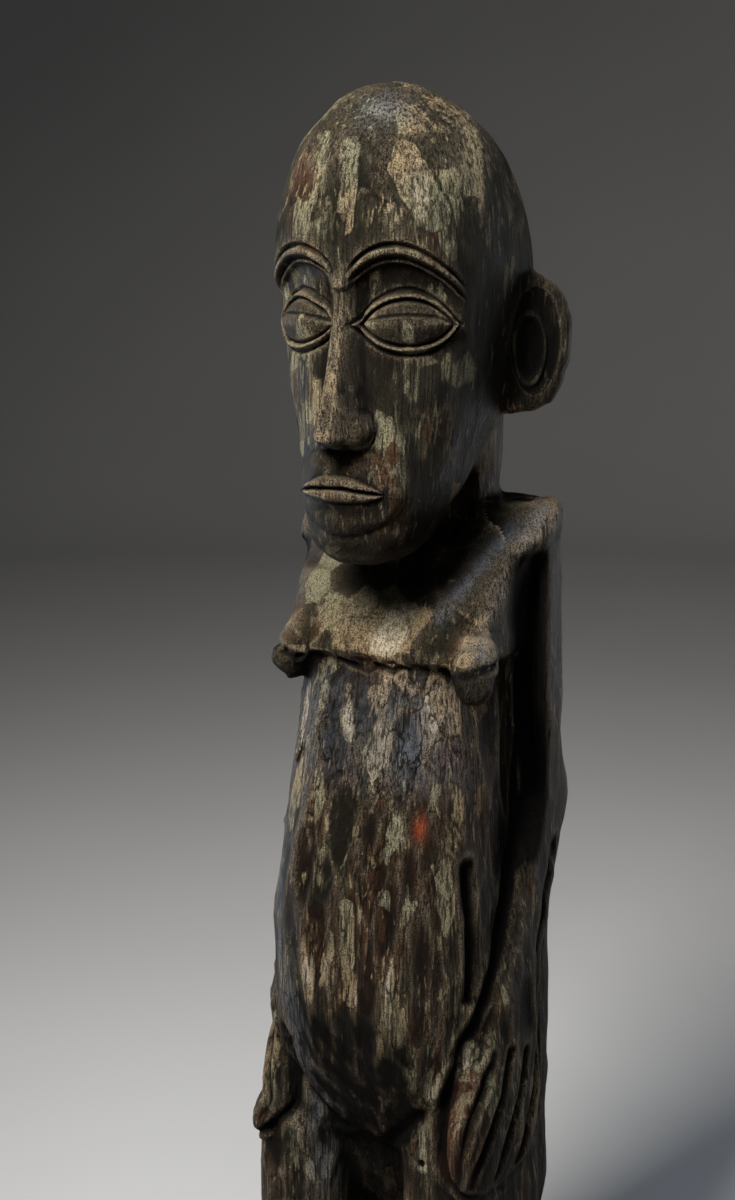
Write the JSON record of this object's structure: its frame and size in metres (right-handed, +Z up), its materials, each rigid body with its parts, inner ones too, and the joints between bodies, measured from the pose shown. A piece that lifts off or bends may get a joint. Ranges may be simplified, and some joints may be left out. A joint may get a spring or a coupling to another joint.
{
  "type": "carved ancestor figure",
  "caption": "Standing ancestor figure carved from solid wood, with an egg-shaped head, long arms and flexed legs, bolted to a felted display block.",
  "frame": {"origin": "centre of the felt's underside, on the table", "axes": "+Z up along the figure, the figure faces -Y, its own left side is +X"},
  "size_m": [0.15, 0.15, 0.6564],
  "materials": {
    "carved_wood": "hand-carved dense hardwood, dark handled patina with lighter worn facets",
    "block_wood": "dark stained hardwood, satin",
    "felt": "dark wool felt",
    "zinc_plated_steel": "zinc plated"
  },
  "bodies": {
    "root": {"carved_figure": "carved_wood", "display_block": "block_wood", "felt_sheet": "felt", "hanger_bolt_left": "zinc_plated_steel", "hanger_bolt_right": "zinc_plated_steel", "washer_left": "zinc_plated_steel", "washer_right": "zinc_plated_steel", "hex_nut_left": "zinc_plated_steel", "hex_nut_right": "zinc_plated_steel"}
  },
  "joints": []
}
